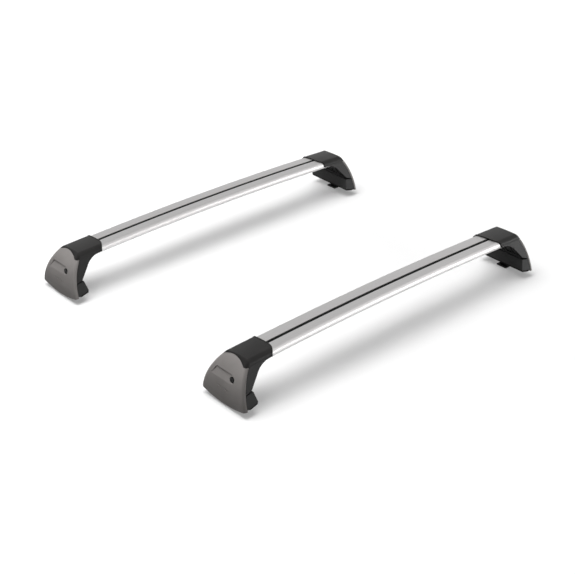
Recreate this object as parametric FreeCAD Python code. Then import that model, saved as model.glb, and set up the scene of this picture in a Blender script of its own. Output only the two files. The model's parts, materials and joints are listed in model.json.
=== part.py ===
import FreeCAD, Part
import math
import os
from FreeCAD import Rotation, Vector

os.makedirs("parts", exist_ok=True)

# Pair of roof crossbars: two cambered aerofoil bars, each on two clamping feet.
# Frame: X along the bars, -Y towards the front of the vehicle, Z up, floor at z = 0.
# Each foot is drawn in its own frame (u outboard along the bar end, v rearwards, w up),
# with the top of the accessory slot at w = 0 and the middle of the foot at v = 0.

# Layout
BAR_SPACING = 758.0
BAR_CAMBER_RADIUS = 11500.0
BAR_HALF = 488.0
BAR_IN_FOOT = 28.0
FOOT_REF_X = BAR_HALF - BAR_IN_FOOT
FOOT_REF_HEIGHT = 139.0

# Longer than any piece of a foot, for cutting shapes
FAR = 400.0

# Aerofoil section of the bar, measured from the middle of the slot
SLOT_V = -15.0
NOSE_RADIUS = 12.5
NOSE_AHEAD = 25.5
NOSE_DROP = 12.5
TAIL_RADIUS = 4.0
TAIL_BEHIND = 41.0
TAIL_DROP = 8.0
TOP_RADIUS = 400.0
UNDERSIDE_RADIUS = 500.0
BAR_WALL = 2.2

# Accessory slot and its infill strip
SLOT_OPENING = 11.0
SLOT_LIP = 2.6
SLOT_WIDTH = 19.0
SLOT_DEPTH = 8.0
SLOT_CEILING = 0.4
STRIP_SETBACK = 18.0
STRIP_HALF = BAR_HALF - STRIP_SETBACK
STRIP_CLEARANCE = 0.2
STRIP_FLANGE = 3.0

# Foot cover (sleeve over the bar end, arched front and rear walls)
SLEEVE_CLEARANCE = 0.5
COVER_WALL = 2.2
SLEEVE_EDGE_U = -30.0
SLEEVE_EDGE_W = -14.0
SWEEP_START = (-30.0, -6.0)
SWEEP_BEND = (-25.0, -28.0)
SWEEP_END = (-13.0, -44.0)
HEM_WIDTH = 2.6
HEM_PROUD = 0.7
HEM_ROOT = 1.0
ARCH_START = (-2.0, -15.8)
ARCH_BEND = (28.0, -25.0)
ARCH_END = (44.0, -40.0)
ARCH_FOOT = (71.0, -69.5)
COVER_SKIRT = (130.0, -86.0)
NOSE_BLEND = 12.0
TAIL_CORNER = 12.0
FOOT_FRONT = (-72.5, -116.0)
FOOT_BOTTOM = (15.0, -129.0)
FOOT_REAR = (102.5, -116.0)
REAR_BELLY = (84.0, -57.0)
REAR_SHOULDER = (53.0, -9.0)

# Outboard face of the foot, as three points of one arc (u, w)
END_TOP = (60.0, 2.0)
END_MIDDLE = (92.0, -45.0)
END_BOTTOM = (109.0, -128.0)
END_ROUND = 8.5
END_WALL = 4.0
END_RIM = 10.0
PARTING_GAP = 1.0
CREST_FRONT = (-30.0, -14.0)
CREST_TOP = (12.0, -1.5)
CREST_REAR = (53.0, -11.0)

# Bare recess, thin groove and lock on the end cover
RECESS_TOP = -40.5
RECESS_BOTTOM = -63.5
RECESS_FRONT = -4.5
RECESS_REAR_TOP = 57.0
RECESS_REAR_BOTTOM = 70.0
RECESS_DEPTH = 2.6
GROOVE_FRONT = -5.0
GROOVE_REAR = 40.0
GROOVE_W = -84.0
GROOVE_HEIGHT = 2.0
GROOVE_DEPTH = 1.4
LOCK_V = -9.5
LOCK_W = -52.5
LOCK_BOSS_RADIUS = 12.0
LOCK_BOSS_U = 85.2
BEZEL_RADIUS = 9.0
BEZEL_FIT = 0.1
BEZEL_BORE = 6.8
BEZEL_U = 85.5
BEZEL_PROUD = 0.6
BARREL_RADIUS = 6.5
BARREL_U = 80.8
BARREL_STUB_RADIUS = 3.0
KEYWAY_LENGTH = 7.5
KEYWAY_WIDTH = 1.8
KEYWAY_DEPTH = 5.0
CAM_U = 77.6
CAM_THICKNESS = 2.6
CAM_LENGTH = 17.0
CAM_WIDTH = 8.0
CAM_BORE_CLEARANCE = 0.1
KEEPER_AHEAD = 27.0
KEEPER_LIP_AHEAD = 10.5
KEEPER_LIP = 2.6
KEEPER_HALF_HEIGHT = 6.5
KEEPER_CLEARANCE = 1.2
KEEPER_SEAT = 0.1

# Leg casting
LEG_CLEARANCE = 0.6
LEG_SHOULDER = 36.0
LEG_HEAD_U = 53.0
LEG_HEAD_W = -27.0
LEG_BEND = (46.0, -38.0)
LEG_HEEL = (70.0, -68.0)
LEG_TOE_U = 70.0
LEG_SEAT_GAP = 0.2
LEG_STEP_W = -24.5
LEG_OUT_TOP = (62.0, -12.0)
LEG_OUT_BOTTOM = (82.0, -76.0)
LEG_FRONT_V = -48.0
LEG_REAR_V = 62.0
PRONG_TIP = -45.0
PRONG_CLEARANCE = 0.4
RIB_COUNT = 5
RIB_THICKNESS = 5.0
RIB_POCKET_DEPTH = 3.0

# Bulkhead of the foot cover and its screws
BULKHEAD_GAP = 0.2
BULKHEAD_THICKNESS = 2.6
BULKHEAD_BOTTOM = -23.5
COVER_SCREW_V = (0.0, 24.0)
COVER_SCREW_W = -11.5
COVER_SCREW_RADIUS = 1.6
COVER_SCREW_HEAD_RADIUS = 3.6
COVER_SCREW_HEAD = 2.4
COVER_SCREW_DEPTH = 12.0
SCREW_CLEARANCE = 0.15

# Tension bolt and the nut block that it draws on
TENSION_V = -24.0
TENSION_W = -12.5
TENSION_RADIUS = 3.7
TENSION_BORE = 4.3
TENSION_HEAD_RADIUS = 6.5
TENSION_HEAD = 5.5
TENSION_COLLAR_RADIUS = 8.0
TENSION_COLLAR = 1.6
TENSION_TIP = -80.0
TENSION_SOCKET = 6.0
TENSION_SOCKET_DEPTH = 4.0
TENSION_PLAY = 0.3
HEAD_HOLE = 9.0
NUT_INBOARD = -72.0
NUT_OUTBOARD = -54.0
NUT_CLEARANCE = 0.35
NUT_BORE = 4.0

# Base block, roof pad and their bolts
BASE_TOP_IN = (68.0, -75.2)
BASE_TOP_OUT = (98.0, -78.4)
BASE_BOTTOM_IN = (61.0, -105.0)
BASE_BOTTOM_OUT = (104.0, -113.6)
PAD_THICKNESS = 5.0
PAD_INSET = 1.6
PAD_OUT_U = 91.0
BASE_BOLT_V = (-28.0, 55.0)
BASE_BOLT_U = 76.5
BASE_BOLT_RADIUS = 2.8
BASE_BOLT_HEAD_RADIUS = 5.0
BASE_BOLT_HEAD = 5.0
BASE_BOLT_SEAT = -92.0
BASE_BOLT_TOP = -66.0
BASE_BOLT_SOCKET = 5.0

# Clamp hook and its bolt
HOOK_V = 26.0
HOOK_WIDTH = 36.0
HOOK_THICKNESS = 3.0
HOOK_TOP = -38.0
HOOK_HEEL = -130.0
HOOK_LIP_U = 82.0
HOOK_LIP_TOP = -131.6
HOOK_SLOT_GAP = 1.0
HOOK_NOTCH_TOP = -104.0
CLAMP_BOLT_W = -52.0
CLAMP_BOLT_RADIUS = 2.85
CLAMP_BOLT_HEAD = 4.0
CLAMP_BOLT_FLATS = 10.0
CLAMP_BOLT_DEPTH = 8.0
CLAMP_WASHER_RADIUS = 6.5
CLAMP_WASHER = 1.5
CLAMP_HOLE_CLEARANCE = 0.3

# Points on the section plane are given from the middle of the slot


def vw(p):
    return Vector(0, SLOT_V + p[0], p[1])


def uw(p):
    return Vector(p[0], 0, p[1])


def line(a, b):
    return Part.LineSegment(a, b).toShape()


def arc(a, via, b):
    return Part.Arc(a, via, b).toShape()


def circle_through(a, b, c):
    ax, ay = a
    bx, by = b
    cx, cy = c
    d = 2 * (ax * (by - cy) + bx * (cy - ay) + cx * (ay - by))
    sa = ax * ax + ay * ay
    sb = bx * bx + by * by
    sc = cx * cx + cy * cy
    x = (sa * (by - cy) + sb * (cy - ay) + sc * (ay - by)) / d
    y = (sa * (cx - bx) + sb * (ax - cx) + sc * (bx - ax)) / d
    return (x, y), math.hypot(ax - x, ay - y)


def circles_meet(c1, r1, c2, r2):
    dx = c2[0] - c1[0]
    dy = c2[1] - c1[1]
    d = math.hypot(dx, dy)
    along = (r1 * r1 - r2 * r2 + d * d) / (2 * d)
    off = math.sqrt(r1 * r1 - along * along)
    mx = c1[0] + along * dx / d
    my = c1[1] + along * dy / d
    return (mx - off * dy / d, my + off * dx / d), (mx + off * dy / d, my - off * dx / d)


def toward(c, p, r):
    d = math.hypot(p[0] - c[0], p[1] - c[1])
    return (c[0] + r * (p[0] - c[0]) / d, c[1] + r * (p[1] - c[1]) / d)


def between(c, r, p, q):
    return toward(c, ((p[0] + q[0]) / 2, (p[1] + q[1]) / 2), r)


NOSE = (-NOSE_AHEAD, -NOSE_DROP)
TAIL = (TAIL_BEHIND, -TAIL_DROP)
TOP = min(circles_meet(NOSE, TOP_RADIUS - NOSE_RADIUS, TAIL, TOP_RADIUS - TAIL_RADIUS),
          key=lambda p: p[1])
UNDER = max(circles_meet(NOSE, UNDERSIDE_RADIUS - NOSE_RADIUS, TAIL, UNDERSIDE_RADIUS - TAIL_RADIUS),
            key=lambda p: p[1])
END_CENTRE, END_RADIUS = circle_through(END_TOP, END_MIDDLE, END_BOTTOM)


def away(c, p, r):
    return toward(c, p, -r)


def aerofoil(grow):
    """Section of the bar, every arc moved outwards by the same amount."""
    nose_r = NOSE_RADIUS + grow
    tail_r = TAIL_RADIUS + grow
    nose_top = away(NOSE, TOP, nose_r)
    nose_low = away(NOSE, UNDER, nose_r)
    tail_top = away(TAIL, TOP, tail_r)
    tail_low = away(TAIL, UNDER, tail_r)
    top_mid = between(TOP, TOP_RADIUS + grow, nose_top, tail_top)
    low_mid = between(UNDER, UNDERSIDE_RADIUS + grow, nose_low, tail_low)
    edges = [
        arc(vw(nose_low), vw((NOSE[0] - nose_r, NOSE[1])), vw(nose_top)),
        arc(vw(nose_top), vw(top_mid), vw(tail_top)),
        arc(vw(tail_top), vw((TAIL[0] + tail_r, TAIL[1])), vw(tail_low)),
        arc(vw(tail_low), vw(low_mid), vw(nose_low)),
    ]
    return Part.Face(Part.Wire(edges))


def vw_box(v0, v1, w0, w1):
    points = [vw((v0, w0)), vw((v1, w0)), vw((v1, w1)), vw((v0, w1)), vw((v0, w0))]
    return Part.Face(Part.makePolygon(points))


def chambers():
    """The three hollow chambers of the bar: nose, below the slot, tail."""
    inner = aerofoil(-BAR_WALL)
    side = SLOT_WIDTH / 2 + BAR_WALL
    floor = -SLOT_CEILING - SLOT_LIP - SLOT_DEPTH - BAR_WALL
    nose = inner.common(vw_box(-90, -side, -60, 20)).Faces[0]
    middle = inner.common(vw_box(-SLOT_WIDTH / 2, SLOT_WIDTH / 2, -60, floor)).Faces[0]
    tail = inner.common(vw_box(side, 90, -60, 20)).Faces[0]
    return nose, middle, tail


def slot_face(gap):
    lip = -SLOT_CEILING - SLOT_LIP
    throat = vw_box(-SLOT_OPENING / 2 + gap, SLOT_OPENING / 2 - gap, lip - 1, 10)
    channel = vw_box(-SLOT_WIDTH / 2 + gap, SLOT_WIDTH / 2 - gap, lip - SLOT_DEPTH + gap, lip - gap)
    return throat, channel


def bent(face, half):
    """Sweep a section along the camber of the bar."""
    turn = math.degrees(half / BAR_CAMBER_RADIUS)
    centre = Vector(0, 0, -BAR_CAMBER_RADIUS)
    start = face.copy()
    start.rotate(centre, Vector(0, 1, 0), -turn)
    return start.revolve(centre, Vector(0, 1, 0), 2 * turn)


def make_bar():
    throat, channel = slot_face(0)
    section = aerofoil(0).cut(throat).cut(channel)
    for hollow in chambers():
        section = section.cut(hollow)
    return bent(section.Faces[0], BAR_HALF)


def make_strip():
    """Rubber infill: a flange held under the slot lips and a plug that closes the opening."""
    throat, channel = slot_face(STRIP_CLEARANCE)
    lip = -SLOT_CEILING - SLOT_LIP
    flange = channel.common(vw_box(-40, 40, lip - STRIP_FLANGE, 10))
    plug = throat.common(vw_box(-40, 40, lip - STRIP_FLANGE, -SLOT_CEILING - 0.3))
    section = flange.fuse(plug).removeSplitter()
    return bent(section.Faces[0], STRIP_HALF)


def along_u(face, u0, u1):
    start = face.copy()
    start.translate(Vector(u0, 0, 0))
    return start.extrude(Vector(u1 - u0, 0, 0))


def along_v(edges, v0, v1):
    start = Part.Face(Part.Wire(edges))
    start.translate(Vector(0, v0, 0))
    return start.extrude(Vector(0, v1 - v0, 0))


def polygon(points, v0, v1):
    loop = [uw(p) for p in points]
    loop.append(uw(points[0]))
    return along_v(Part.makePolygon(loop).Edges, v0, v1)


def slab(u0, u1, v0, v1, w0, w1):
    return Part.makeBox(u1 - u0, v1 - v0, w1 - w0, Vector(u0, SLOT_V + v0, w0))


def rod(radius, u0, u1, v, w):
    return Part.makeCylinder(radius, u1 - u0, Vector(u0, SLOT_V + v, w), Vector(1, 0, 0))


def hexagon(flats, origin, direction, length):
    corner = flats / math.sqrt(3)
    points = []
    for k in range(7):
        angle = math.radians(60 * k)
        points.append(Vector(corner * math.cos(angle), corner * math.sin(angle), 0))
    prism = Part.Face(Part.makePolygon(points)).extrude(Vector(0, 0, length))
    turn = Rotation(Vector(0, 0, 1), direction)
    prism.Placement = FreeCAD.Placement(origin, turn)
    return prism


def foot_outline():
    """Front view of the foot: aerofoil top, flaring front and rear, bowed lower edge."""
    grow = SLEEVE_CLEARANCE + COVER_WALL
    nose_r = NOSE_RADIUS + grow
    top_r = TOP_RADIUS + grow
    front_top = (NOSE[0] - nose_r, NOSE[1])
    slope = (front_top[0] - FOOT_FRONT[0], front_top[1] - FOOT_FRONT[1])
    length = math.hypot(slope[0], slope[1])
    slope = (slope[0] / length, slope[1] / length)
    out = (-slope[1], slope[0])
    base = (FOOT_FRONT[0] + NOSE_BLEND * out[0], FOOT_FRONT[1] + NOSE_BLEND * out[1])
    rel = (base[0] - NOSE[0], base[1] - NOSE[1])
    dot = rel[0] * slope[0] + rel[1] * slope[1]
    reach = nose_r + NOSE_BLEND
    step = -dot - math.sqrt(dot * dot - rel[0] ** 2 - rel[1] ** 2 + reach ** 2)
    blend = (base[0] + step * slope[0], base[1] + step * slope[1])
    blend_low = (blend[0] - NOSE_BLEND * out[0], blend[1] - NOSE_BLEND * out[1])
    blend_high = toward(blend, NOSE, NOSE_BLEND)
    blend_mid = between(blend, NOSE_BLEND, blend_low, blend_high)
    nose_top = away(NOSE, TOP, nose_r)
    nose_mid = between(NOSE, nose_r, blend_high, nose_top)
    rear, rear_r = circle_through(REAR_SHOULDER, REAR_BELLY, FOOT_REAR)
    corner = max(circles_meet(TOP, top_r - TAIL_CORNER, rear, rear_r - TAIL_CORNER),
                 key=lambda p: p[1])
    corner_top = away(corner, TOP, TAIL_CORNER)
    corner_rear = away(corner, rear, TAIL_CORNER)
    top_mid = between(TOP, top_r, nose_top, corner_top)
    corner_mid = between(corner, TAIL_CORNER, corner_top, corner_rear)
    rear_mid = between(rear, rear_r, corner_rear, FOOT_REAR)
    edges = [
        line(vw(FOOT_FRONT), vw(blend_low)),
        arc(vw(blend_low), vw(blend_mid), vw(blend_high)),
        arc(vw(blend_high), vw(nose_mid), vw(nose_top)),
        arc(vw(nose_top), vw(top_mid), vw(corner_top)),
        arc(vw(corner_top), vw(corner_mid), vw(corner_rear)),
        arc(vw(corner_rear), vw(rear_mid), vw(FOOT_REAR)),
        arc(vw(FOOT_REAR), vw(FOOT_BOTTOM), vw(FOOT_FRONT)),
    ]
    return Part.Face(Part.Wire(edges))


def end_u(w, shift):
    """Outboard face of the foot at height w, moved inboard by shift."""
    return END_CENTRE[0] - shift + math.sqrt(END_RADIUS ** 2 - (w - END_CENTRE[1]) ** 2)


def inside_end(shift):
    """Everything inboard of the outboard face moved in by shift."""
    high = 14.0
    low = -150.0
    middle = (high + low) / 2
    top = (end_u(high, shift), high)
    bottom = (end_u(low, shift), low)
    edges = [
        line(uw((-60, low)), uw(bottom)),
        arc(uw(bottom), uw((end_u(middle, shift), middle)), uw(top)),
        line(uw(top), uw((-60, high))),
        line(uw((-60, high)), uw((-60, low))),
    ]
    return along_v(edges, -FAR, FAR)


def round_end(solid, radius):
    """Round the outboard edge of the foot, all but its lower edge."""
    edges = []
    for face in solid.Faces:
        surface = face.Surface
        if isinstance(surface, Part.Cylinder) and abs(surface.Axis.y) > 0.9:
            edges = [e for e in face.Edges if e.CenterOfMass.z > FOOT_FRONT[1] + 3]
    return solid.makeFillet(radius, edges)


def foot_form(inset, shift, radius):
    outline = foot_outline()
    if inset:
        outline = outline.makeOffset2D(-inset)
    solid = along_u(outline, -50, 140).common(inside_end(shift))
    solid = solid.Solids[0]
    return round_end(solid, radius) if radius else solid


def crest_face(grow):
    """Front view of the end cover's upper edge, a crest that stays below the sleeve."""
    points = [(CREST_FRONT[0], CREST_FRONT[1] + grow), (CREST_TOP[0], CREST_TOP[1] + grow),
              (CREST_REAR[0], CREST_REAR[1] + grow)]
    edges = [
        line(vw((-120, -160)), vw((-120, points[0][1]))),
        line(vw((-120, points[0][1])), vw(points[0])),
        arc(vw(points[0]), vw(points[1]), vw(points[2])),
        line(vw(points[2]), vw((160, points[2][1]))),
        line(vw((160, points[2][1])), vw((160, -160))),
        line(vw((160, -160)), vw((-120, -160))),
    ]
    return Part.Face(Part.Wire(edges))


def end_zone(depth, grow):
    """Space of the end cover: outboard of the parting line and below the crest."""
    return along_u(crest_face(grow), -60, 150).cut(inside_end(depth))


def hook_u(w):
    """Line of the hook strap, carried by the leg's outboard face."""
    run = (LEG_OUT_BOTTOM[0] - LEG_OUT_TOP[0]) / (LEG_OUT_BOTTOM[1] - LEG_OUT_TOP[1])
    return LEG_OUT_TOP[0] + run * (w - LEG_OUT_TOP[1])


def hook_frame():
    """Unit vectors along the clamp bolt (outboard) at the strap."""
    run = (LEG_OUT_BOTTOM[0] - LEG_OUT_TOP[0]) / (LEG_OUT_TOP[1] - LEG_OUT_BOTTOM[1])
    size = math.hypot(1, run)
    return Vector(1 / size, 0, run / size)


def inboard_of_sleeve(shift):
    """Everything inboard of the sleeve's edge, which sweeps outboard towards the nose."""
    def plan(p):
        return Vector(p[0] + shift, SLOT_V + p[1], -60)

    edges = [
        line(plan((-90, -90)), plan((SWEEP_END[0], -90))),
        line(plan((SWEEP_END[0], -90)), plan(SWEEP_END)),
        arc(plan(SWEEP_END), plan(SWEEP_BEND), plan(SWEEP_START)),
        line(plan(SWEEP_START), plan((SWEEP_START[0], 120))),
        line(plan((SWEEP_START[0], 120)), plan((-90, 120))),
        line(plan((-90, 120)), plan((-90, -90))),
    ]
    return Part.Face(Part.Wire(edges)).extrude(Vector(0, 0, 90))


def make_foot_cover(shell):
    keep = [
        line(uw((SLEEVE_EDGE_U - 10, 20)), uw((150, 20))),
        line(uw((150, 20)), uw((150, COVER_SKIRT[1]))),
        line(uw((150, COVER_SKIRT[1])), uw(COVER_SKIRT)),
        line(uw(COVER_SKIRT), uw(ARCH_FOOT)),
        line(uw(ARCH_FOOT), uw(ARCH_END)),
        arc(uw(ARCH_END), uw(ARCH_BEND), uw(ARCH_START)),
        line(uw(ARCH_START), uw((SLEEVE_EDGE_U - 10, SLEEVE_EDGE_W))),
        line(uw((SLEEVE_EDGE_U - 10, SLEEVE_EDGE_W)), uw((SLEEVE_EDGE_U - 10, 20))),
    ]
    keep = along_v(keep, -FAR, FAR)
    outline = foot_outline()
    hem = along_u(outline.makeOffset2D(HEM_PROUD), SLEEVE_EDGE_U - 10, 40)
    hem = hem.cut(along_u(outline.makeOffset2D(-HEM_ROOT), SLEEVE_EDGE_U - 20, 50))
    hem = hem.common(keep).common(inboard_of_sleeve(HEM_WIDTH))
    cover = shell.common(keep).fuse(hem).cut(inboard_of_sleeve(0))
    cover = cover.cut(end_zone(END_RIM + PARTING_GAP, PARTING_GAP))
    start = LEG_HEAD_U + BULKHEAD_GAP
    plate = foot_form(COVER_WALL - 0.4, END_WALL, 0)
    plate = plate.common(slab(start, start + BULKHEAD_THICKNESS, -90, 90, BULKHEAD_BOTTOM, 20))
    plate = plate.cut(rod(HEAD_HOLE, 0, 90, TENSION_V, TENSION_W))
    for v in COVER_SCREW_V:
        plate = plate.cut(rod(COVER_SCREW_RADIUS + SCREW_CLEARANCE, 0, 90, v, COVER_SCREW_W))
    plate = plate.cut(end_zone(END_RIM + PARTING_GAP, PARTING_GAP))
    return cover.fuse(plate).removeSplitter()


def make_end_cover(shell, form):
    cover = shell.common(end_zone(END_RIM, 0))
    boss = rod(LOCK_BOSS_RADIUS, LOCK_BOSS_U, 120, LOCK_V, LOCK_W).common(form)
    cover = cover.fuse(boss)
    depth = RECESS_DEPTH
    wedge = polygon([(end_u(RECESS_BOTTOM, 0), RECESS_BOTTOM), (end_u(RECESS_TOP, depth), RECESS_TOP),
                     (140, RECESS_TOP), (140, RECESS_BOTTOM)], -120, 120)
    window = [vw((RECESS_FRONT, RECESS_BOTTOM)), vw((RECESS_REAR_BOTTOM, RECESS_BOTTOM)),
              vw((RECESS_REAR_TOP, RECESS_TOP)), vw((RECESS_FRONT, RECESS_TOP))]
    window.append(window[0])
    window = along_u(Part.Face(Part.makePolygon(window)), 60, 140)
    cover = cover.cut(wedge.common(window))
    groove = slab(60, 140, GROOVE_FRONT, GROOVE_REAR, GROOVE_W - GROOVE_HEIGHT / 2,
                  GROOVE_W + GROOVE_HEIGHT / 2)
    cover = cover.cut(groove.cut(inside_end(GROOVE_DEPTH)))
    cover = cover.cut(rod(BEZEL_RADIUS, 60, 140, LOCK_V, LOCK_W))
    half = HOOK_WIDTH / 2 + HOOK_SLOT_GAP
    outer = HOOK_THICKNESS / hook_frame().x + HOOK_SLOT_GAP
    notch = polygon([(60, HOOK_NOTCH_TOP), (hook_u(HOOK_NOTCH_TOP) + outer, HOOK_NOTCH_TOP),
                     (hook_u(-140) + outer, -140), (60, -140)],
                    SLOT_V + HOOK_V - half, SLOT_V + HOOK_V + half)
    return cover.cut(notch).removeSplitter()


def make_lock():
    face_u = end_u(LOCK_W, RECESS_DEPTH / 2) + BEZEL_PROUD
    bezel = rod(BEZEL_RADIUS - BEZEL_FIT, BEZEL_U, face_u, LOCK_V, LOCK_W)
    bezel = bezel.cut(rod(BEZEL_BORE, 60, 140, LOCK_V, LOCK_W))
    barrel = rod(BARREL_RADIUS, BARREL_U, face_u + 0.4, LOCK_V, LOCK_W)
    barrel = barrel.fuse(rod(BARREL_STUB_RADIUS, CAM_U - 0.6, BARREL_U + 1, LOCK_V, LOCK_W))
    keyway = slab(face_u - KEYWAY_DEPTH, face_u + 5, LOCK_V - KEYWAY_WIDTH / 2,
                  LOCK_V + KEYWAY_WIDTH / 2, LOCK_W - KEYWAY_LENGTH / 2, LOCK_W + KEYWAY_LENGTH / 2)
    barrel = barrel.cut(keyway).removeSplitter()
    cam = slab(CAM_U, CAM_U + CAM_THICKNESS, LOCK_V - CAM_WIDTH / 2, LOCK_V + CAM_WIDTH / 2,
               LOCK_W, LOCK_W + CAM_LENGTH)
    cam = cam.fuse(rod(CAM_WIDTH / 2, CAM_U, CAM_U + CAM_THICKNESS, LOCK_V, LOCK_W))
    cam = cam.cut(rod(BARREL_STUB_RADIUS + CAM_BORE_CLEARANCE, 60, 90, LOCK_V, LOCK_W))
    return bezel, barrel, cam.removeSplitter()


def make_keeper():
    """Catch on the leg: its lip stands outboard of the cam when the lock is turned."""
    low = LOCK_W - KEEPER_HALF_HEIGHT
    high = LOCK_W + KEEPER_HALF_HEIGHT
    lip_in = CAM_U + CAM_THICKNESS + KEEPER_CLEARANCE
    lip_out = lip_in + KEEPER_LIP
    wall = LOCK_V - CAM_LENGTH - KEEPER_CLEARANCE
    block = polygon([(hook_u(low) + KEEPER_SEAT, low), (lip_out, low), (lip_out, high),
                     (hook_u(high) + KEEPER_SEAT, high)], SLOT_V + LOCK_V - KEEPER_AHEAD, SLOT_V + wall)
    lip = slab(lip_in, lip_out, wall - 1, LOCK_V - KEEPER_LIP_AHEAD, low, high)
    return block.fuse(lip).removeSplitter()


def make_leg():
    profile = [(LEG_SHOULDER, 10), (LEG_HEAD_U, 10), (LEG_HEAD_U, LEG_STEP_W),
               (hook_u(LEG_STEP_W), LEG_STEP_W), (hook_u(BASE_TOP_OUT[1]), BASE_TOP_OUT[1]), (LEG_TOE_U, BASE_TOP_OUT[1]),
               LEG_HEEL, LEG_BEND,
               (LEG_SHOULDER, LEG_HEAD_W)]
    body = polygon(profile, SLOT_V + LEG_FRONT_V, SLOT_V + LEG_REAR_V)
    body = body.common(foot_form(COVER_WALL + LEG_CLEARANCE, END_WALL + LEG_CLEARANCE, 0))
    seat = polygon([(BASE_TOP_IN[0], BASE_TOP_IN[1] + LEG_SEAT_GAP),
                    (BASE_TOP_OUT[0], BASE_TOP_OUT[1] + LEG_SEAT_GAP),
                    (BASE_TOP_OUT[0], BASE_TOP_OUT[1] - 20), (BASE_TOP_IN[0], BASE_TOP_OUT[1] - 20)], -FAR, FAR)
    body = body.cut(seat)
    pitch = (LEG_REAR_V - LEG_FRONT_V - RIB_THICKNESS) / (RIB_COUNT - 1)
    for k in range(RIB_COUNT - 1):
        v = LEG_FRONT_V + RIB_THICKNESS + k * pitch
        deep = RIB_POCKET_DEPTH
        pocket = polygon([(LEG_BEND[0] - 30, LEG_BEND[1]), (LEG_BEND[0] + deep, LEG_BEND[1]),
                          (LEG_HEEL[0] + deep, LEG_HEEL[1]), (LEG_BEND[0] - 30, LEG_HEEL[1])],
                         SLOT_V + v, SLOT_V + v + pitch - RIB_THICKNESS)
        body = body.cut(pocket)
    nose, middle, tail = chambers()
    for hollow in (nose, tail):
        prong = hollow.makeOffset2D(-PRONG_CLEARANCE)
        body = body.fuse(along_u(prong, PRONG_TIP, LEG_SHOULDER + 4))
    body = body.cut(rod(TENSION_BORE, -90, 90, TENSION_V, TENSION_W))
    for v in COVER_SCREW_V:
        body = body.cut(rod(COVER_SCREW_RADIUS + SCREW_CLEARANCE, LEG_HEAD_U - COVER_SCREW_DEPTH - 1, 90,
                            v, COVER_SCREW_W))
    for v in BASE_BOLT_V:
        hole = Part.makeCylinder(BASE_BOLT_RADIUS + SCREW_CLEARANCE, 40,
                                 Vector(BASE_BOLT_U, SLOT_V + v, BASE_BOLT_TOP + 1 - 40))
        body = body.cut(hole)
    out = hook_frame()
    start = Vector(hook_u(CLAMP_BOLT_W), SLOT_V + HOOK_V, CLAMP_BOLT_W)
    body = body.cut(Part.makeCylinder(CLAMP_BOLT_RADIUS + SCREW_CLEARANCE, CLAMP_BOLT_DEPTH + 11,
                                      start - out * (CLAMP_BOLT_DEPTH + 1), out))
    return body.removeSplitter()


def make_tension_bolt():
    seat = LEG_HEAD_U + TENSION_PLAY
    bolt = rod(TENSION_RADIUS, TENSION_TIP, seat + 2, TENSION_V, TENSION_W)
    bolt = bolt.fuse(rod(TENSION_COLLAR_RADIUS, seat, seat + TENSION_COLLAR, TENSION_V, TENSION_W))
    crown = seat + TENSION_COLLAR + TENSION_HEAD
    bolt = bolt.fuse(rod(TENSION_HEAD_RADIUS, seat, crown, TENSION_V, TENSION_W))
    origin = Vector(crown - TENSION_SOCKET_DEPTH, SLOT_V + TENSION_V, TENSION_W)
    bolt = bolt.cut(hexagon(TENSION_SOCKET, origin, Vector(1, 0, 0), TENSION_SOCKET_DEPTH + 2))
    return bolt.removeSplitter()


def make_nut_block():
    nose = chambers()[0].makeOffset2D(-NUT_CLEARANCE)
    block = along_u(nose, NUT_INBOARD, NUT_OUTBOARD)
    return block.cut(rod(NUT_BORE, -90, 0, TENSION_V, TENSION_W))


def make_cover_screws():
    seat = LEG_HEAD_U + BULKHEAD_GAP + BULKHEAD_THICKNESS
    screws = []
    for v in COVER_SCREW_V:
        shank = rod(COVER_SCREW_RADIUS, LEG_HEAD_U - COVER_SCREW_DEPTH, seat + 1, v, COVER_SCREW_W)
        head = rod(COVER_SCREW_HEAD_RADIUS, seat, seat + COVER_SCREW_HEAD, v, COVER_SCREW_W)
        screws.append(shank.fuse(head).removeSplitter())
    return Part.makeCompound([s.Solids[0] for s in screws])


def strap_slot(gap):
    """Way for the hook strap down the outboard side of the base."""
    half = HOOK_WIDTH / 2 + gap
    return polygon([(hook_u(-60) - 0.3, -60), (hook_u(-140) - 0.3, -140), (160, -140), (160, -60)],
                   SLOT_V + HOOK_V - half, SLOT_V + HOOK_V + half)


def make_base(form):
    block = polygon([BASE_TOP_IN, BASE_TOP_OUT, (140, BASE_TOP_OUT[1]), (140, BASE_BOTTOM_OUT[1]),
                     BASE_BOTTOM_OUT, BASE_BOTTOM_IN], -FAR, FAR)
    block = block.common(form).common(inside_end(END_RIM + PARTING_GAP))
    block = block.cut(strap_slot(HOOK_SLOT_GAP))
    for v in BASE_BOLT_V:
        at = Vector(BASE_BOLT_U, SLOT_V + v, -140)
        block = block.cut(Part.makeCylinder(BASE_BOLT_RADIUS + SCREW_CLEARANCE, 90, at))
        block = block.cut(Part.makeCylinder(BASE_BOLT_HEAD_RADIUS + SCREW_CLEARANCE,
                                            BASE_BOLT_SEAT + 140, at))
    return block.removeSplitter()


def make_base_bolts():
    bolts = []
    for v in BASE_BOLT_V:
        low = BASE_BOLT_SEAT - BASE_BOLT_HEAD
        shank = Part.makeCylinder(BASE_BOLT_RADIUS, BASE_BOLT_TOP - BASE_BOLT_SEAT + 1,
                                  Vector(BASE_BOLT_U, SLOT_V + v, BASE_BOLT_SEAT - 1))
        head = Part.makeCylinder(BASE_BOLT_HEAD_RADIUS, BASE_BOLT_HEAD, Vector(BASE_BOLT_U, SLOT_V + v, low))
        bolt = shank.fuse(head)
        socket = hexagon(BASE_BOLT_SOCKET, Vector(BASE_BOLT_U, SLOT_V + v, low - 1), Vector(0, 0, 1), 3.5)
        bolts.append(bolt.cut(socket).removeSplitter().Solids[0])
    return Part.makeCompound(bolts)


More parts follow.
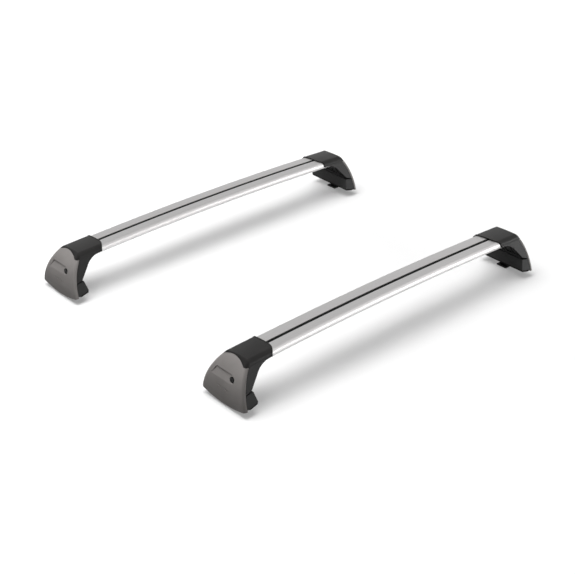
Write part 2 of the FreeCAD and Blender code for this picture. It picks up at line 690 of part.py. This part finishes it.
def make_roof_pad():
    run = (BASE_BOTTOM_OUT[1] - BASE_BOTTOM_IN[1]) / (BASE_BOTTOM_OUT[0] - BASE_BOTTOM_IN[0])
    start_u = BASE_BOTTOM_IN[0] + PAD_INSET
    start = (start_u, BASE_BOTTOM_IN[1] + run * PAD_INSET)
    end = (PAD_OUT_U, BASE_BOTTOM_IN[1] + run * (PAD_OUT_U - BASE_BOTTOM_IN[0]))
    pad = polygon([start, end, (end[0], end[1] - PAD_THICKNESS), (start[0], start[1] - PAD_THICKNESS)],
                  -FAR, FAR)
    pad = pad.common(foot_form(PAD_INSET, 0, 0))
    return pad.cut(strap_slot(HOOK_SLOT_GAP)).removeSplitter()


def make_clamp_hook():
    lean = HOOK_THICKNESS / hook_frame().x
    low = -140.0
    strap = polygon([(hook_u(HOOK_TOP), HOOK_TOP), (hook_u(HOOK_TOP) + lean, HOOK_TOP),
                     (hook_u(HOOK_HEEL) + lean, HOOK_HEEL), (hook_u(HOOK_HEEL), low), (HOOK_LIP_U, low),
                     (HOOK_LIP_U, HOOK_LIP_TOP), (hook_u(HOOK_LIP_TOP), HOOK_LIP_TOP)],
                    SLOT_V + HOOK_V - HOOK_WIDTH / 2, SLOT_V + HOOK_V + HOOK_WIDTH / 2)
    out = hook_frame()
    start = Vector(hook_u(CLAMP_BOLT_W), SLOT_V + HOOK_V, CLAMP_BOLT_W)
    hole = Part.makeCylinder(CLAMP_BOLT_RADIUS + CLAMP_HOLE_CLEARANCE, 30, start - out * 10, out)
    return strap.cut(hole)


def make_clamp_bolt():
    out = hook_frame()
    foot = Vector(hook_u(CLAMP_BOLT_W), SLOT_V + HOOK_V, CLAMP_BOLT_W)
    seat = foot + out * HOOK_THICKNESS
    washer = Part.makeCylinder(CLAMP_WASHER_RADIUS, CLAMP_WASHER, seat, out)
    head = hexagon(CLAMP_BOLT_FLATS, seat + out * CLAMP_WASHER, out, CLAMP_BOLT_HEAD)
    shank = Part.makeCylinder(CLAMP_BOLT_RADIUS, CLAMP_BOLT_DEPTH + HOOK_THICKNESS + CLAMP_WASHER + 1,
                              foot - out * CLAMP_BOLT_DEPTH, out)
    return washer.fuse(head).fuse(shank).removeSplitter()


TILT = math.asin(FOOT_REF_X / BAR_CAMBER_RADIUS)
FOOT_DROP = BAR_CAMBER_RADIUS * (1 - math.cos(TILT))
BAR_MID_HEIGHT = FOOT_REF_HEIGHT + FOOT_DROP


def to_bar(shape):
    """From the foot frame to the right way round on a bar at y = 0."""
    moved = shape.copy()
    moved.rotate(Vector(0, 0, 0), Vector(0, 1, 0), math.degrees(TILT))
    moved.translate(Vector(FOOT_REF_X, 0, FOOT_REF_HEIGHT))
    return moved


def trim_to_floor(shape):
    """Level the hook's lip where it stands on the floor."""
    return shape.cut(Part.makeBox(2 * FAR, 2 * FAR, FAR, Vector(FOOT_REF_X - FAR, -FAR, -FAR)))


def make_foot():
    form = foot_form(0, 0, END_ROUND)
    hollow = foot_form(COVER_WALL, END_WALL, 0)
    shell = form.cut(hollow)
    bezel, barrel, cam = make_lock()
    return {
        "leg": make_leg(),
        "lock_keeper": make_keeper(),
        "foot_cover": make_foot_cover(shell),
        "cover_screws": make_cover_screws(),
        "end_cover": make_end_cover(shell, form),
        "lock_bezel": bezel,
        "lock_barrel": barrel,
        "lock_cam": cam,
        "tension_bolt": make_tension_bolt(),
        "base": make_base(form),
        "base_bolts": make_base_bolts(),
        "roof_pad": make_roof_pad(),
        "clamp_hook": make_clamp_hook(),
        "clamp_bolt": make_clamp_bolt(),
    }


def export(shape, name):
    shape.exportStep("parts/" + name + ".step")


foot = {}
for piece, solid in make_foot().items():
    foot[piece] = to_bar(solid)
foot["clamp_hook"] = trim_to_floor(foot["clamp_hook"])
nut_block = to_bar(make_nut_block())
bar = make_bar()
strip = make_strip()
nuts = []
strips = []

for end, y in (("front", -BAR_SPACING / 2), ("rear", BAR_SPACING / 2)):
    placed = bar.copy()
    placed.translate(Vector(0, y, BAR_MID_HEIGHT))
    export(placed, end + "_bar")
    placed = strip.copy()
    placed.translate(Vector(0, y, BAR_MID_HEIGHT))
    strips.append(placed.Solids[0])
    for side in ("left", "right"):
        pieces = dict(foot)
        pieces["nut_block"] = nut_block
        for piece, solid in pieces.items():
            placed = solid.copy()
            if side == "right":
                placed = placed.mirror(Vector(0, 0, 0), Vector(1, 0, 0))
            placed.translate(Vector(0, y, 0))
            if piece == "nut_block":
                nuts.append(placed.Solids[0])
            else:
                export(placed, end + "_" + side + "_" + piece)
export(Part.makeCompound(nuts), "nut_blocks")
export(Part.makeCompound(strips), "infill_strips")
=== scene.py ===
import json

import bmesh
import bpy
from mathutils import Matrix, Vector


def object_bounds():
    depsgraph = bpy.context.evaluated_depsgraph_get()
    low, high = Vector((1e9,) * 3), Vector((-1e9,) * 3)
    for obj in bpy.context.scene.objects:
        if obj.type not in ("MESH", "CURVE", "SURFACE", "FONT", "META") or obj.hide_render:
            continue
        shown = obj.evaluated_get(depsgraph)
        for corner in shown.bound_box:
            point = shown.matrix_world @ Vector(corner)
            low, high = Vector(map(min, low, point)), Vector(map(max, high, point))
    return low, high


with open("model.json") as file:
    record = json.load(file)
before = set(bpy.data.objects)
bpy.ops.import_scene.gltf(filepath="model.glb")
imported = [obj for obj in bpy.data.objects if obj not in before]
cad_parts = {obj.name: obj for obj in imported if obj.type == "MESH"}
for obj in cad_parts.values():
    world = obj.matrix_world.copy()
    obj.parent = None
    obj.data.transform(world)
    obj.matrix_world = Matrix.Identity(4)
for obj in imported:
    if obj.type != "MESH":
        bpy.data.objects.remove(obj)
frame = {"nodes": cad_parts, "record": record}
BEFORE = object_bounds()

# Patterns: the noise values between which most of a pattern lies, and how the grain of a moulding works
PATTERN_RANGE = (0.3, 0.7)
NOISE_DETAIL = 2.0
CLOUD_SCALE = 18.0
GRAIN_STRENGTH = 0.25
GRAIN_ROUGHNESS = 0.05

# Floor in metres, with the distance over which its glow grows and the strengths it grows between
FLOOR_HALF = 14.0
FLOOR_GAP = 0.0005
FLOOR_SHADE = 0.62
FLOOR_BOUNCE = 0.09
FLOOR_ROUGHNESS = 0.9
FLOOR_GLOSS = 0.1
GLOW_REACH = (0.4, 3.0)
GLOW_STRENGTH = (0.16, 0.95)

# Surroundings: their light, and the rise in direction over which the backdrop goes from white to grey
WORLD_LIGHT = 0.10
BACKDROP_RISE = (0.12, 0.42)
BACKDROP_STRENGTH = (1.0, 0.68)

# Camera at the photograph's angle
SENSOR_MM = 36.0
LENS_MM = 81.39
CAMERA_PLACE = (-2.2585, -2.5394, 1.9036)
CAMERA_AIM = (-0.119, -0.125, 0.070)


# Materials

def grey(level, warm=0.0):
    return (level * (1 + warm), level, level * (1 - warm / 2))


def ramped(tree, value, source, result):
    """A value that runs through the result range while the given one runs through the source range."""
    node = tree.nodes.new("ShaderNodeMapRange")
    for key, number in zip(("From Min", "From Max", "To Min", "To Max"), (*source, *result)):
        node.inputs[key].default_value = number
    tree.links.new(value, node.inputs["Value"])
    return node.outputs["Result"]


class Finish:
    """One material and a few helpers around its node tree; all patterns run on object coordinates."""

    SOCKETS = {"metal": "Metallic", "rough": "Roughness", "gloss": "Specular IOR Level"}

    def __init__(self, name):
        self.mat = bpy.data.materials.new(name)
        self.mat.use_nodes = True
        self.tree = self.mat.node_tree
        self.shader = self.tree.nodes["Principled BSDF"]
        self.coords = self.node("ShaderNodeTexCoord").outputs["Object"]

    def node(self, kind):
        return self.tree.nodes.new(kind)

    def link(self, a, b):
        self.tree.links.new(a, b)

    def set(self, **values):
        for key, value in values.items():
            self.shader.inputs[self.SOCKETS[key]].default_value = value

    def stretched(self, scale):
        mapping = self.node("ShaderNodeMapping")
        mapping.inputs["Scale"].default_value = scale
        self.link(self.coords, mapping.inputs["Vector"])
        return mapping.outputs["Vector"]

    def noise(self, scale, vector=None):
        noise = self.node("ShaderNodeTexNoise")
        noise.inputs["Scale"].default_value = scale
        noise.inputs["Detail"].default_value = NOISE_DETAIL
        self.link(vector or self.coords, noise.inputs["Vector"])
        return noise.outputs["Fac"]

    def ribs(self, scale):
        wave = self.node("ShaderNodeTexWave")
        wave.bands_direction = "Y"
        wave.inputs["Scale"].default_value = scale
        self.link(self.coords, wave.inputs["Vector"])
        return wave.outputs["Fac"]

    def roughness(self, pattern, low, high):
        spread = ramped(self.tree, pattern, PATTERN_RANGE, (low, high))
        self.link(spread, self.shader.inputs["Roughness"])

    def colour(self, pattern, dark, light):
        ramp = self.node("ShaderNodeValToRGB")
        for element, place, shade in zip(ramp.color_ramp.elements, PATTERN_RANGE, (dark, light)):
            element.position = place
            element.color = (*shade, 1)
        self.link(pattern, ramp.inputs["Fac"])
        self.link(ramp.outputs["Color"], self.shader.inputs["Base Color"])

    def bump(self, pattern, strength, height):
        bump = self.node("ShaderNodeBump")
        bump.inputs["Strength"].default_value = strength
        bump.inputs["Distance"].default_value = height
        self.link(pattern, bump.inputs["Height"])
        self.link(bump.outputs["Normal"], self.shader.inputs["Normal"])


def anodised_bar():
    """Satin aluminium with faint draw lines along the extrusion."""
    m = Finish("anodised aluminium")
    lines = m.noise(scale=1.0, vector=m.stretched((6.0, 900.0, 900.0)))
    m.colour(lines, dark=(0.645, 0.635, 0.632), light=(0.720, 0.709, 0.706))
    m.roughness(lines, low=0.46, high=0.54)
    m.set(metal=1.0)
    m.bump(lines, strength=0.05, height=0.0002)
    return m.mat


def zinc_plate():
    """Plated steel with a fine spangle."""
    m = Finish("zinc plate")
    spangle = m.noise(scale=900.0)
    m.colour(spangle, dark=(0.52, 0.52, 0.50), light=(0.66, 0.66, 0.63))
    m.roughness(spangle, low=0.26, high=0.38)
    m.set(metal=1.0)
    return m.mat


def ribbed_rubber():
    """Dull pad rubber with fine ribs."""
    m = Finish("ribbed pad rubber")
    m.colour(m.noise(scale=60.0), dark=grey(0.010), light=grey(0.018))
    m.roughness(m.noise(scale=700.0), low=0.72, high=0.85)
    m.set(gloss=0.12)
    m.bump(m.ribs(scale=55.0), strength=0.6, height=0.0008)
    return m.mat


def moulding(name, dark, light, rough, gloss, grain_scale, grain_height):
    """Moulded or coated surface: slight clouding and a fine grain."""
    m = Finish(name)
    m.colour(m.noise(CLOUD_SCALE), dark, light)
    grain = m.noise(grain_scale)
    m.roughness(grain, rough - GRAIN_ROUGHNESS, rough + GRAIN_ROUGHNESS)
    m.set(gloss=gloss)
    m.bump(grain, GRAIN_STRENGTH, grain_height)
    return m.mat


MATERIALS = {
    "bar_metal": anodised_bar(),
    "zinc_steel": zinc_plate(),
    "pad_rubber": ribbed_rubber(),
    "strip_rubber": moulding("slot rubber", grey(0.004), grey(0.007), rough=0.70, gloss=0.08,
                             grain_scale=900.0, grain_height=0.0003),
    "cast_metal": moulding("coated casting", grey(0.012), grey(0.020), rough=0.55, gloss=0.15,
                           grain_scale=500.0, grain_height=0.0006),
    "cover_plastic": moulding("satin black plastic", grey(0.009, warm=0.05), grey(0.013, warm=0.05),
                              rough=0.42, gloss=0.22, grain_scale=1400.0, grain_height=0.0002),
    "end_plastic": moulding("graphite plastic", grey(0.238, warm=0.06), grey(0.272, warm=0.06),
                            rough=0.52, gloss=0.08, grain_scale=1600.0, grain_height=0.0003),
    "lock_plastic": moulding("black lock plastic", grey(0.003), grey(0.005), rough=0.30, gloss=0.06,
                             grain_scale=900.0, grain_height=0.0002),
    "lock_metal": moulding("black lock barrel", grey(0.004), grey(0.007), rough=0.35, gloss=0.10,
                           grain_scale=900.0, grain_height=0.0002),
    "base_plastic": moulding("dark grey plastic", grey(0.018), grey(0.025), rough=0.50, gloss=0.20,
                             grain_scale=1100.0, grain_height=0.0004),
    "hook_metal": moulding("black coated steel", grey(0.012), grey(0.020), rough=0.45, gloss=0.25,
                           grain_scale=800.0, grain_height=0.0002),
}
SLOT_OF = {s["node"]: s["material_slot"] for s in frame["record"]["subparts"]}
for name, obj in frame["nodes"].items():
    obj.data.materials.clear()
    obj.data.materials.append(MATERIALS[SLOT_OF[name]])


# Floor, light and camera

def add_object(name, data):
    obj = bpy.data.objects.new(name, data)
    bpy.context.scene.collection.objects.link(obj)
    return obj


def point_at(obj, place, aim):
    obj.location = place
    obj.rotation_euler = (Vector(aim) - Vector(place)).to_track_quat("-Z", "Y").to_euler()


def backdrop_rays(tree):
    """1 for camera, glossy and transmission rays, which see the white backdrop; 0 for the rest."""
    rays = tree.nodes.new("ShaderNodeLightPath").outputs
    total = rays["Is Camera Ray"]
    for kind in ("Is Glossy Ray", "Is Transmission Ray"):
        either = tree.nodes.new("ShaderNodeMath")
        either.operation = "MAXIMUM"
        tree.links.new(total, either.inputs[0])
        tree.links.new(rays[kind], either.inputs[1])
        total = either.outputs["Value"]
    return total


def split_rays(tree, seen, lit, output):
    """Backdrop rays meet the seen shader; the light that falls on the part comes from the lit one."""
    pick = tree.nodes.new("ShaderNodeMixShader")
    tree.links.new(backdrop_rays(tree), pick.inputs["Fac"])
    tree.links.new(lit, pick.inputs[1])
    tree.links.new(seen, pick.inputs[2])
    tree.links.new(pick.outputs["Shader"], tree.nodes[output].inputs["Surface"])


def floor_finish():
    """White where it is seen, with soft shadows, and a dimmer bounce on the part."""
    m = Finish("pale floor")
    m.shader.inputs["Base Color"].default_value = (*grey(FLOOR_SHADE), 1)
    m.set(rough=FLOOR_ROUGHNESS, gloss=FLOOR_GLOSS)
    bounce = m.node("ShaderNodeBsdfDiffuse")
    bounce.inputs["Color"].default_value = (*grey(FLOOR_BOUNCE), 1)
    reach = m.node("ShaderNodeVectorMath")
    reach.operation = "LENGTH"
    m.link(m.coords, reach.inputs[0])
    glow = m.node("ShaderNodeEmission")
    m.link(ramped(m.tree, reach.outputs["Value"], GLOW_REACH, GLOW_STRENGTH), glow.inputs["Strength"])
    seen = m.node("ShaderNodeAddShader")
    m.link(m.shader.outputs["BSDF"], seen.inputs[0])
    m.link(glow.outputs["Emission"], seen.inputs[1])
    split_rays(m.tree, seen.outputs["Shader"], bounce.outputs["BSDF"], "Material Output")
    return m.mat


def pale_floor():
    mesh = bpy.data.meshes.new("floor")
    bm = bmesh.new()
    bmesh.ops.create_grid(bm, x_segments=1, y_segments=1, size=FLOOR_HALF,
                          matrix=Matrix.Translation((0, 0, BEFORE[0][2] - FLOOR_GAP)))
    bm.to_mesh(mesh)
    bm.free()
    mesh.materials.append(floor_finish())
    obj = add_object("floor", mesh)


def soft_panel(name, size, power, place, aim, mirrored=True):
    """Rectangular lamp; one that isn't mirrored lights the part without showing in its metal."""
    lamp = bpy.data.lights.new(name, "AREA")
    lamp.shape = "RECTANGLE"
    lamp.size, lamp.size_y = size
    lamp.energy = power
    obj = add_object(name, lamp)
    obj.visible_glossy = mirrored
    point_at(obj, place, aim)


def pale_surroundings():
    """White near the floor and greyer overhead where they are seen, and dim as a light."""
    world = bpy.data.worlds.new("studio")
    bpy.context.scene.world = world
    world.use_nodes = True
    tree = world.node_tree
    dim = tree.nodes["Background"]
    white = tree.nodes.new("ShaderNodeBackground")
    for shade in (dim, white):
        shade.inputs["Color"].default_value = (1, 1, 1, 1)
    dim.inputs["Strength"].default_value = WORLD_LIGHT
    direction = tree.nodes.new("ShaderNodeTexCoord").outputs["Generated"]
    height = tree.nodes.new("ShaderNodeSeparateXYZ")
    tree.links.new(direction, height.inputs["Vector"])
    fade = ramped(tree, height.outputs["Z"], BACKDROP_RISE, BACKDROP_STRENGTH)
    tree.links.new(fade, white.inputs["Strength"])
    split_rays(tree, white.outputs["Background"], dim.outputs["Background"], "World Output")


def studio():
    bpy.context.scene.view_settings.view_transform = "Standard"
    pale_surroundings()
    soft_panel("overhead panel", size=(2.4, 3.0), power=140.0, place=(-0.6, 0.4, 2.8), aim=(0, 0, 0),
               mirrored=False)
    soft_panel("front panel", size=(2.6, 0.4), power=32.0, place=(2.2, -2.6, 0.22), aim=(0, -0.3, 0.1))
    soft_panel("high front panel", size=(2.4, 1.8), power=9.0, place=(2.3, -2.0, 2.7), aim=(0, 0, 0.1))
    soft_panel("back panel", size=(2.6, 0.8), power=30.0, place=(1.8, 3.0, 0.5), aim=(0, 0.3, 0.1),
               mirrored=False)
    pale_floor()


def photo_camera():
    data = bpy.data.cameras.new("photo camera")
    data.sensor_width = SENSOR_MM
    data.lens = LENS_MM
    obj = add_object("photo camera", data)
    point_at(obj, CAMERA_PLACE, CAMERA_AIM)
    bpy.context.scene.camera = obj


studio()
photo_camera()
